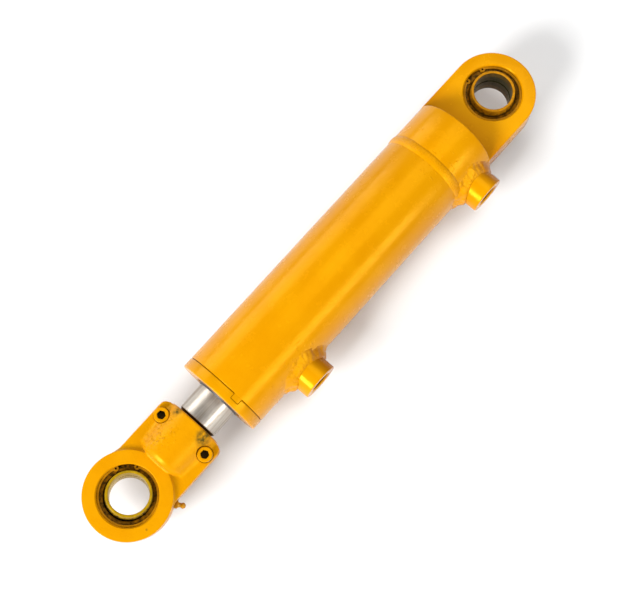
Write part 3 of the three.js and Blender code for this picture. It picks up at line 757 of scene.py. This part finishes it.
def make_port_weld(name, x, toward_base, toward_rod, sideways, seed):
    """A lumpy fillet bead round a port boss, where it meets the barrel. toward_base, toward_rod
    and sideways are how far it reaches out from the boss."""
    around, throat, sunk = 300, 6.6, 1.6
    ripple_height, ripple_length = 0.08, 3.3
    points = []
    for k in range(around):
        angle = 2 * math.pi * k / around
        c, s = math.cos(angle), math.sin(angle)
        along = toward_rod if c > 0 else toward_base
        spot = (PORT_R * c, PORT_R * s, 0)
        uneven = wobble(spot, 11, seed)
        reach = (along * c * c + sideways * s * s) * (1 + 0.09 * uneven)
        rise = throat * (1 + 0.14 * wobble(spot, 9, seed + 3)) - 1.2 * s * s
        ring = []
        for out, up in weld_section(reach, rise, 0.9 + 0.3 * uneven):
            radius = PORT_R + out
            ripple = ripple_height * math.sin(2 * math.pi * (angle * PORT_R + 0.8 * out) / ripple_length)
            place = (radius * c, radius * s, 0.7 * up)
            lump = 1.5 * wobble(place, 6.0, seed + 6) + 0.8 * wobble(place, 3.0, seed + 8)
            fade = min(1.0, (reach - out) / 1.6) * min(1.0, out / 1.2)
            height = saddle(radius, s) + up + (ripple + lump) * fade
            ring.append((x + radius * c, height, radius * s))
        toe, inner = PORT_R + reach, PORT_R - 1.2
        ring.append((x + (toe - 0.6) * c, saddle(toe, s) - sunk, (toe - 0.6) * s))
        ring.append((x + inner * c, saddle(inner, s) - sunk, inner * s))
        ring.append((x + inner * c, saddle(inner, s) + rise - 0.6, inner * s))
        points += ring
    return finished(name, hooped(points, len(points) // around), sharp=60)


def make_barrel_weld():
    """The bead that closes the joint between the base end and the tube."""
    around, across = 380, 16
    half, height = 5.9, 0.95
    edge_r, root_r = TUBE_R - 0.5, TUBE_R - 1.4
    ripple_height, ripple_length = 0.14, 2.9
    points = []
    for k in range(around):
        angle = 2 * math.pi * k / around
        c, s = math.cos(angle), math.sin(angle)
        spot = (0, TUBE_R * c, TUBE_R * s)
        centre = BASE_STEP + 0.5 * wobble(spot, 14, 1)
        width = half * (1 + 0.08 * wobble(spot, 10, 2))
        tall = height * (1 + 0.18 * wobble(spot, 12, 3))
        for i in range(across + 1):
            t = 2 * i / across - 1
            hump = (1 - t * t) ** (0.5 if t < 0 else 1.1)
            bow = 2.4 * t * t
            ripple = ripple_height * math.sin(2 * math.pi * (angle * TUBE_R + bow) / ripple_length)
            lump = 0.16 * wobble((t * 4, TUBE_R * c, TUBE_R * s), 3.4, 4)
            radius = edge_r + (tall + 0.5 + ripple + lump) * hump
            points.append((centre + width * t, radius * c, radius * s))
        points.append((centre + width, root_r * c, root_r * s))
        points.append((centre - width, root_r * c, root_r * s))
    return finished("barrel_weld", hooped(points, across + 3), sharp=60)


def make_spatter():
    """Small beads of weld spatter on the barrel, under the paint."""
    sunk_r = TUBE_R - 0.1
    places = []
    for _ in range(16):
        x = random.choice((95, 122)) + random.uniform(-7, 12)
        places.append((x, random.uniform(-0.9, 2.6)))
    for _ in range(9):
        x = HEAD_PORT + random.choice((-1, 1)) * random.uniform(34, 52)
        places.append((x, random.uniform(-0.7, 0.7)))
    bm = bmesh.new()
    for x, angle in places:
        radius = random.uniform(0.35, 0.8)
        at = Matrix.Translation((x, sunk_r * math.cos(angle), sunk_r * math.sin(angle)))
        bmesh.ops.create_icosphere(bm, subdivisions=2, radius=radius, matrix=at)
    mesh = bpy.data.meshes.new("made")
    bm.to_mesh(mesh)
    bm.free()
    return finished("weld_spatter", mesh, sharp=80)


def make_wiper():
    """A ring with a lip that leans on the rod."""
    back, front, outer = 421.8, GLAND_FRONT, 28.2
    profile = softened(
        [(back, 23.4), (back, outer), (front - 1.2, outer), (front - 1.4, 26.6), (front - 1.2, 25.4),
         (front + 1.5, 23.8), (front + 1.5, 22.95), (front - 2.5, 23.4)],
        [0.2, 0.3, 0.5, 1.0, 1.2, 0.35, 0.2, 1.0],
    )
    return finished("rod_wiper_fine", turned(profile, MEDIUM))


# ---- rod pieces

SHANK_END = 97.3
EAR_END = 95.0
EAR_HALF_WIDTH = 38.5
EAR_HALF_HEIGHT = 12.0
EAR_COVE_HEIGHT = 5.0
SHANK_R = 30.0
TAPER_START = -74.0     # the shank narrows from here to the eye
TAPER_END = -48.5
TAPER_R = 27.7
THREAD_R = 16.5
THREAD_PITCH, TOOTH = 2, 1.1
SLIT_END = -SHANK_END + 46
SLIT_HALF = 1.5
SCREW_BACK = 80.0
SCREW_Y = 29.2
POCKET_FLOOR = EAR_HALF_HEIGHT - 4
POCKET_R = 8.5
SCREW_SEAT = POCKET_FLOOR + 0.3
SCREW_TOP = SCREW_SEAT + 10
SCREW_HEAD_R = 8
SCREW_R = 4.9
ROD_EYE_R = high("rod_eye").x - EYE_X
NIPPLE_ANGLE = math.radians(121.5)
NIPPLE_SEAT = 45.4


def make_rod():
    tail, shoulder, tip = low("piston_rod").x, 160.7, high("piston_rod").x
    spigot_r, nut_thread = 15, 26
    thread_r, neck_r = spigot_r - 0.1, THREAD_R - 0.4
    profile = [(tail, 0), (tail, spigot_r - 2), (tail + 2, thread_r)]
    profile += threaded(tail + 2.5, tail + nut_thread, thread_r, THREAD_PITCH, -TOOTH)
    profile += [(tail + nut_thread + 2, spigot_r), (shoulder, spigot_r), (shoulder, ROD_R - 1),
                (shoulder + 1, ROD_R)]
    profile += softened(
        [(shoulder + 2, ROD_R), (ROD_END - 2.4, ROD_R), (ROD_END, ROD_R - 2.3), (ROD_END, 16.2)],
        [0, 0.8, 0.4, 0], closed=False,
    )
    profile += threaded(ROD_END + 2, tip - 3, neck_r, THREAD_PITCH, -TOOTH)
    profile += [(tip - 2, neck_r - 0.2), (tip, neck_r - 2.2), (tip, 0)]
    return finished("piston_rod_fine", turned(profile, FINE))


def rod_eye_outline():
    """The ring and the ears seen along the bore, as one closed outline."""
    blend_r, corner_r = 40, 7
    blend_y = EAR_HALF_WIDTH + blend_r
    blend_x = math.sqrt((ROD_EYE_R + blend_r) ** 2 - blend_y ** 2)
    meet = math.atan2(blend_y, -blend_x)
    upper = arc(-EAR_END + corner_r, EAR_HALF_WIDTH - corner_r, corner_r, math.pi, math.pi / 2, 10)
    upper += arc(-blend_x, blend_y, blend_r, -math.pi / 2, meet - math.pi, 12)
    upper += arc(0, 0, ROD_EYE_R, meet, 0, 60)
    return upper + [(x, -y) for x, y in reversed(upper)]


def ring_profile(edge):
    """The eye's ring, to be turned about its bore, with edges rounded by edge."""
    corners = [(-EYE_HALF, 0), (-EYE_HALF, ROD_EYE_R), (EYE_HALF, ROD_EYE_R), (EYE_HALF, 0)]
    return softened(corners, [0, edge, edge, 0], closed=False)


def cast_eye():
    """The rod eye as it comes from the mould: ring, ears and shank in one uneven skin."""
    eye = loose(slab(rod_eye_outline(), -EAR_HALF_HEIGHT, EAR_HALF_HEIGHT, 1.0))
    cove = ring_cove()
    foot = cove[-1][0]
    skirt_profile = [(-foot, 0)] + [(-z, r) for z, r in reversed(cove)] + cove + [(foot, 0)]
    skirt = loose(turned(skirt_profile, FINE, "Z"))
    combine(skirt, [loose(prism(rod_eye_outline(), -EYE_HALF, EYE_HALF))], "INTERSECT")
    shank = softened(
        [(-SHANK_END, 0), (-SHANK_END, SHANK_R), (TAPER_START, SHANK_R), (TAPER_END, TAPER_R),
         (TAPER_END + 5, TAPER_R - 3.3), (TAPER_END + 6.5, 15), (TAPER_END + 6.5, 0)],
        [0, 1.6, 6, 1.5, 2, 0, 0], 5, closed=False,
    )
    join(eye, turned(ring_profile(1.0), FINE, "Z"), turned(shank, FINE), *ear_coves())
    combine(eye, [skirt], "UNION")
    remesh = eye.modifiers.new("skin", "REMESH")
    remesh.mode = "VOXEL"
    remesh.voxel_size = 0.85
    smooth = eye.modifiers.new("cast", "SMOOTH")
    smooth.factor = 0.5
    smooth.iterations = 12
    bake(eye)
    roughen(eye.data)
    return eye


def eye_cutters():
    """What is machined out of the casting."""
    start, lead_end, wide = -SHANK_END - 1, -SHANK_END + 1.2, EAR_HALF_WIDTH + 1
    lead = turned([(start, 0), (start, THREAD_R + 2.2), (lead_end, THREAD_R), (lead_end, 0)], MEDIUM)
    thread = rod_along("X", start, SLIT_END, THREAD_R + 0.3, MEDIUM)
    slit_outline = [(start, -wide), (SLIT_END, -wide), (SLIT_END, wide), (start, wide)]
    slit = prism(slit_outline, -SLIT_HALF, SLIT_HALF)
    cutters = [housing_cutter(), lead, thread, slit]
    above = SHANK_R + 2
    pocket_profile = softened(
        [(POCKET_FLOOR, 0), (POCKET_FLOOR, POCKET_R), (above, POCKET_R), (above, 0)], [0, 0.8, 0, 0],
        closed=False,
    )
    for side in (-1, 1):
        spot = Matrix.Translation((-SCREW_BACK, side * SCREW_Y, 0))
        hole = rod_along("Z", -EAR_HALF_HEIGHT - 2, EAR_HALF_HEIGHT, SCREW_R + 0.5)
        cutters += [moved(hole, spot), moved(turned(pocket_profile, SMALL, "Z"), spot)]
    turn = Matrix.Rotation(NIPPLE_ANGLE, 4, "Z")
    cutters.append(moved(rod_along("X", HOUSING_R - 2, NIPPLE_SEAT + 1, 3.3), turn))
    cutters.append(moved(rod_along("X", NIPPLE_SEAT, NIPPLE_SEAT + 8, 5.2), turn))
    return cutters


def make_rod_eye():
    eye = cast_eye()
    join(eye, turned(ring_profile(0.45), 2 * FINE, "Z"))
    cut(eye, *eye_cutters())
    return from_tool("rod_eye_fine", eye, ROD_PLACE, sharp=38)


def ring_cove():
    """Half of a hollow fillet from the eye's side down to the ears, as (z, radius)."""
    size, inset, steps = 4.0, 0.4, 6
    points = []
    for k in range(steps + 1):
        angle = math.pi / 2 * k / steps
        z = EYE_HALF - inset - (size - inset) * math.sin(angle)
        points.append((z, ROD_EYE_R + size * (1 - math.cos(angle))))
    return list(reversed(points))


def cove_section(shank_r):
    """The section of a hollow fillet between a shank of that radius and an ear, as (y, z)."""
    height = EAR_HALF_HEIGHT + EAR_COVE_HEIGHT
    reach, buried = 4.5, EAR_HALF_HEIGHT - 3
    foot = math.sqrt(shank_r ** 2 - EAR_HALF_HEIGHT ** 2)
    top = math.sqrt(shank_r ** 2 - height ** 2)
    start, end = (foot + reach, EAR_HALF_HEIGHT - 0.2), (top, height)
    middle = (foot + 0.6, EAR_HALF_HEIGHT + 0.9)
    curve = []
    for k in range(7):
        t = k / 6
        curve.append(tuple((1 - t) ** 2 * a + 2 * t * (1 - t) * m + t * t * b
                           for a, m, b in zip(start, middle, end)))
    return curve + [(top - 6, height), (top - 6, buried), (foot + reach, buried)]


def ear_coves():
    """Hollow fillets between the round shank and the flat ears."""
    stations = [(-SHANK_END + 1.5, SHANK_R), (TAPER_START, SHANK_R), (TAPER_END, TAPER_R)]
    pieces = []
    for side_y in (-1, 1):
        for side_z in (-1, 1):
            points = []
            for x, radius in stations:
                points += [(x, y * side_y, z * side_z) for y, z in cove_section(radius)]
            pieces.append(stacked(points, len(points) // len(stations)))
    return pieces


def roughen(mesh):
    """The uneven skin of a sand casting, coarser along one shoulder."""
    mesh.update()
    moves = []
    for vertex in mesh.vertices:
        at = vertex.co
        flat = abs(at.z) > EYE_HALF - 0.5 and math.hypot(at.x, at.y) < ROD_EYE_R - 1
        amount = 0.06 * wobble(at, 7, 2) + (0.0 if flat else 0.08 * wobble(at, 2.6, 5))
        shoulder = math.exp(-((at.x + 58) / 13) ** 2 - ((at.y + 17) / 5) ** 2) if at.z > 8 else 0
        amount += shoulder * (0.6 * wobble(at, 3.6, 9) + 0.65 * wobble(at, 2.3, 12))
        moves.append(vertex.normal * amount)
    for vertex, move in zip(mesh.vertices, moves):
        vertex.co += move


def knurled_head(z0, z1, radius):
    """The knurled side of a socket screw's head, with rounded ends."""
    teeth, tooth_height = 44, 0.12
    count = teeth * 4
    levels = [(z0, -0.5), (z0 + 0.35, -0.12), (z0 + 1.2, 0), (z1 - 1.5, 0), (z1 - 0.5, -0.2), (z1, -0.8)]
    points = []
    for z, inset in levels:
        for k in range(count):
            angle = 2 * math.pi * k / count
            tooth = tooth_height * math.cos(angle * teeth) if inset == 0 else 0
            r = radius + inset - tooth_height + tooth
            points.append((r * math.cos(angle), r * math.sin(angle), z))
    return stacked(points, count)


def make_clamp_screw(name, side):
    tip = -EAR_HALF_HEIGHT + 1
    pitch, tooth = 1.5, 0.9
    screw = loose(knurled_head(SCREW_SEAT, SCREW_TOP, SCREW_HEAD_R))
    shank = [(tip, 0), (tip, SCREW_R - 1), (tip + 1, SCREW_R)]
    shank += threaded(tip + 1.2, SCREW_SEAT - 3, SCREW_R, pitch, -tooth)
    shank += [(SCREW_SEAT - 2, SCREW_R), (SCREW_SEAT + 1, SCREW_R), (SCREW_SEAT + 1, 0)]
    join(screw, turned(shank, SMALL, "Z"))
    corner = 4 / math.cos(math.pi / 6)
    key = prism(arc(0, 0, corner, 0, 2 * math.pi, 6)[:-1], SCREW_TOP - 6, SCREW_TOP + 1)
    start, end = SCREW_TOP - 0.6, SCREW_TOP + 0.6
    lead = turned([(start, 0), (start, 4.1), (end, 5.3), (end, 0)], SMALL, "Z")
    cut(screw, key, lead)
    screw.data.transform(Matrix.Translation((-SCREW_BACK, side * SCREW_Y, 0)))
    return from_tool(name, screw, ROD_PLACE, sharp=30)


def shade_socket(screw, side):
    """The walls and floor of the hexagon socket get the dark oily bare-steel material, which also paints
    the shade in the socket.
    """
    screw.data.materials.append(SOCKET_STEEL_AND_SHADE)
    axis = Vector((-SCREW_BACK * MM, side * SCREW_Y * MM))
    for face in screw.data.polygons:
        inside = (Vector(face.center[:2]) - axis).length < 4.7 * MM
        if inside and face.center.z < (SCREW_TOP - 0.4) * MM:
            face.material_index = 1


def make_nipple():
    """A straight grease nipple, turned about X and then swung to its place on the ring."""
    foot = NIPPLE_SEAT
    profile = softened(
        [(foot - 9, 0), (foot - 9, 2.9), (foot + 0.4, 2.9), (foot + 0.4, 4.0), (foot + 3.2, 4.0),
         (foot + 4.0, 2.9), (foot + 6.4, 2.0), (foot + 8.3, 3.1), (foot + 9.8, 3.0),
         (foot + 11.5, 1.4), (foot + 11.5, 0)],
        [0, 0.6, 0, 0, 0.3, 0.4, 1.0, 0.9, 0.9, 0.3, 0], closed=False,
    )
    body = loose(turned(profile, SMALL))
    hexagon = prism(arc(0, 0, 4.6, 0, 2 * math.pi, 6)[:-1], foot + 0.35, foot + 3.4)
    hexagon.transform(Matrix.Rotation(math.pi / 2, 4, "Y"))
    join(body, hexagon)
    cut(body, rod_along("X", foot + 10.6, foot + 12, 0.6, 16))
    body.data.transform(Matrix.Rotation(NIPPLE_ANGLE, 4, "Z"))
    return from_tool("grease_nipple_fine", body, ROD_PLACE)


# ---- bearings


def sphere_arc(radius, half_span, steps):
    """A ball's outline from -half_span to half_span along its axis, as (z, radius)."""
    limit = math.asin(half_span / radius)
    angles = [-limit + 2 * limit * i / steps for i in range(steps + 1)]
    return [(radius * math.sin(angle), radius * math.cos(angle)) for angle in angles]


def make_outer_ring(name, place):
    """The bearing's outer ring, hollow to the ball and with an oil groove round its outside."""
    end, outer, mouth = OUTER_HALF, HOUSING_R - 0.3, 25.6
    groove_half, floor_half, floor_r = 1.6, 0.8, outer - 0.9
    outside = softened(
        [(-end, mouth), (-end, outer), (-groove_half, outer), (-floor_half, floor_r),
         (floor_half, floor_r), (groove_half, outer), (end, outer), (end, mouth)],
        [0, 1.2, 0.2, 0.2, 0.2, 0.2, 1.2, 0], closed=False,
    )
    inside = list(reversed(sphere_arc(SPHERE_R + 0.6, end - 0.5, 26)))
    return finished(name, turned(outside + inside, MEDIUM, "Z"), place)


def make_inner_ring(name, place):
    """The bearing's ball with its two collars, and an oil groove inside and out."""
    end, groove_r = COLLAR_END, SPHERE_R - 0.7
    shoulder = math.sqrt(SPHERE_R ** 2 - COLLAR_R ** 2)
    # The first two points only give the end's corner a side to round towards.
    collar = softened(
        [(-2.2, RING_BORE_R), (-2.0, RING_BORE_R), (-end, RING_BORE_R), (-end, COLLAR_R),
         (-shoulder, COLLAR_R)],
        [0, 0, 0.8, 0.7, 0], closed=False,
    )[2:]
    upper = [(-z, r) for z, r in reversed(collar)]
    ball = [(z, r) for z, r in sphere_arc(SPHERE_R, shoulder, 36) if abs(z) > 1.6]
    left = [p for p in ball if p[0] < 0]
    right = [p for p in ball if p[0] > 0]
    profile = collar + left + [(-1.5, groove_r), (1.5, groove_r)] + right + upper
    profile += [(1.6, RING_BORE_R), (1.3, PIN_R + 0.9), (-1.3, PIN_R + 0.9), (-1.6, RING_BORE_R)]
    return finished(name, turned(profile, MEDIUM, "Z"), place)


def make_circlip(name, gap, face, place):
    """A circlip with its gap centred on the angle gap, in the groove on the side of face."""
    outer, inner, lug_at, lug_r, hole_r = CLIP_GROOVE_R - 0.3, 28.6, 29.4, 2.9, 1.2
    clearance, thickness, edge, half_gap = 0.3, 2, 0.25, math.radians(21)
    start, end = gap + half_gap, gap - half_gap + 2 * math.pi
    z0 = CLIP_GROOVE[0] + clearance if face > 0 else -CLIP_GROOVE[0] - clearance - thickness
    z1 = z0 + thickness
    band = arc(0, 0, outer, start, end, 120) + arc(0, 0, inner, end, start, 120)
    clip = loose(slab(band, z0, z1, edge, 2))
    holes = []
    for angle in (start, end):
        spot = Matrix.Translation((lug_at * math.cos(angle), lug_at * math.sin(angle), 0))
        lug = slab(arc(0, 0, lug_r, 0, 2 * math.pi, 36)[:-1], z0, z1, edge, 2)
        join(clip, moved(lug, spot))
        holes.append(moved(rod_along("Z", z0 - 1, z1 + 1, hole_r, 24), spot))
    cut(clip, *holes)
    return from_tool(name, clip, place)


# ---- the pieces, in place

place_piece(make_base_end(), "barrel", "base_end", PAINT_BASE)
place_piece(make_tube(), "barrel", "cylinder_tube", PAINT_TUBE)
place_piece(make_gland(), "barrel", "gland", PAINT_GLAND)
for port_name, port_x in (("base_port", BASE_PORT), ("head_port", HEAD_PORT)):
    port = make_port_boss(port_name + "_fine", port_x)
    place_piece(port, "barrel", port_name + "_boss", PAINT_PORTS)
place_piece(make_barrel_weld(), "barrel", None, PAINT_WELD)
PORT_WELDS = (
    ("head_port_weld", HEAD_PORT, 11.6, 13.0, 10.0, 11),
    ("base_port_weld", BASE_PORT, 6.5, 14.0, 10.0, 23),
)
for port_weld in PORT_WELDS:
    place_piece(make_port_weld(*port_weld), "barrel", None, PAINT_WELD)
place_piece(make_spatter(), "barrel", None, PAINT_TUBE)
place_piece(make_wiper(), "barrel", "rod_wiper", WIPER)

place_piece(make_rod(), "rod", "piston_rod", CHROME)
place_piece(make_rod_eye(), "rod", "rod_eye", PAINT_CASTING)
for screw_name, screw_side in (("clamp_screw_left", -1), ("clamp_screw_right", 1)):
    screw = make_clamp_screw(screw_name + "_fine", screw_side)
    place_piece(screw, "rod", screw_name, PAINT_SCREWS)
    shade_socket(screw, screw_side)
place_piece(make_nipple(), "rod", "grease_nipple", NIPPLE)

EYES = (
    ("base", "barrel", "base_ring", BASE_PLACE, BASE_PLACE, BASE_CLIP_GAP, BASE_INNER),
    ("rod", "rod", "rod_ring", ROD_PLACE, ROD_RING_PLACE, ROD_CLIP_GAP, ROD_INNER),
)
for end_name, body_name, ring_body, eye_place, ring_place, clip_gap, inner_material in EYES:
    outer_node, inner_node = end_name + "_bearing_outer_ring", end_name + "_bearing_inner_ring"
    outer_ring = make_outer_ring(outer_node + "_fine", eye_place)
    place_piece(outer_ring, body_name, outer_node, BEARING_OUTER)
    inner_ring = make_inner_ring(inner_node + "_fine", ring_place)
    place_piece(inner_ring, ring_body, inner_node, inner_material)
    for clip_side, clip_face in (("upper", 1), ("lower", -1)):
        clip_node = end_name + "_circlip_" + clip_side
        clip = make_circlip(clip_node + "_fine", clip_gap, clip_face, eye_place)
        place_piece(clip, body_name, clip_node, CIRCLIP)

# These keep the CAD's shape, with rounded edges.
INNER_PIECES = {
    "gland_oring": RUBBER, "gland_backup_ring": PTFE, "gland_wear_ring_front": GUIDE_RING,
    "gland_wear_ring_rear": GUIDE_RING, "rod_seal": POLYURETHANE, "piston": MACHINED,
    "piston_seal": PTFE, "piston_seal_energizer": RUBBER, "piston_wear_ring_rear": GUIDE_RING,
    "piston_wear_ring_front": GUIDE_RING, "piston_rod_oring": RUBBER, "piston_nut": NUT,
}
for node_name, node_material in INNER_PIECES.items():
    node = frame["nodes"][node_name]
    node.data.materials.clear()
    node.data.materials.append(node_material)
    node.modifiers.new("weld", "WELD").merge_threshold = 1e-6
    bevel = node.modifiers.new("round", "BEVEL")
    bevel.width = 0.2 * MM
    bevel.segments = 2
    bevel.limit_method = "ANGLE"
    bevel.angle_limit = math.radians(40)
    node.modifiers.new("normals", "WEIGHTED_NORMAL")


# ---- studio


def floor_material():
    g = Graph("studio_floor")
    paper = g.noise(60, 2.0)
    g.set(Base_Color=g.mix(paper, (0.66, 0.66, 0.66), (0.68, 0.68, 0.68)), Roughness=0.85)
    g.set(Specular_IOR_Level=0.1)
    return g.material


FLOOR_HALF = 14     # metres
floor_mesh = bpy.data.meshes.new("floor")
floor_mesh.from_pydata(
    [(x * FLOOR_HALF, y * FLOOR_HALF, -TUBE_R * MM) for x, y in ((-1, -1), (1, -1), (1, 1), (-1, 1))],
    [], [(0, 1, 2, 3)],
)
floor = shown(bpy.data.objects.new("floor", floor_mesh))
floor.data.materials.append(floor_material())


def softbox(name, at, width, height, power):
    """A white rectangular light that faces the middle of the part."""
    lamp = bpy.data.lights.new(name, "AREA")
    lamp.shape = "RECTANGLE"
    lamp.size, lamp.size_y = width, height
    lamp.energy = power
    obj = linked(bpy.data.objects.new(name, lamp))
    obj.location = at
    obj.rotation_euler = (MIDDLE - Vector(at)).to_track_quat("-Z", "Y").to_euler()


MIDDLE = Vector((0.29, 0.0, 0.0))
softbox("key", (6.35, -0.3, 3.5), 3.0, 3.0, 860)
softbox("overhead", (-1.6, 0.1, 4.6), 3.0, 3.0, 84)
softbox("left", (0.1, -3.1, 1.7), 3.0, 2.2, 76)
softbox("right", (0.1, 3.2, 1.7), 3.0, 1.2, 86)

world = bpy.data.worlds.new("studio")
world.use_nodes = True
background = world.node_tree.nodes["Background"].inputs
background["Color"].default_value = (1, 1, 1, 1)
background["Strength"].default_value = 0.29
bpy.context.scene.world = world
bpy.context.scene.view_settings.view_transform = "Standard"

# The camera stands where a pinhole camera fitted to the object's outlines stands, in metres.
camera_data = bpy.data.cameras.new("camera")
camera_data.lens = 68.06
camera_data.sensor_width = 36
camera = linked(bpy.data.objects.new("camera", camera_data))
right = Vector((-0.66392, 0.7477, -0.01234))
down = Vector((0.73107, 0.64549, -0.22109))
ahead = Vector((-0.15734, -0.1558, -0.97518))
turn = Matrix((right, -down, -ahead)).transposed().to_4x4()
camera.matrix_world = Matrix.Translation((0.48411, 0.19907, 1.19654)) @ turn
bpy.context.scene.camera = camera
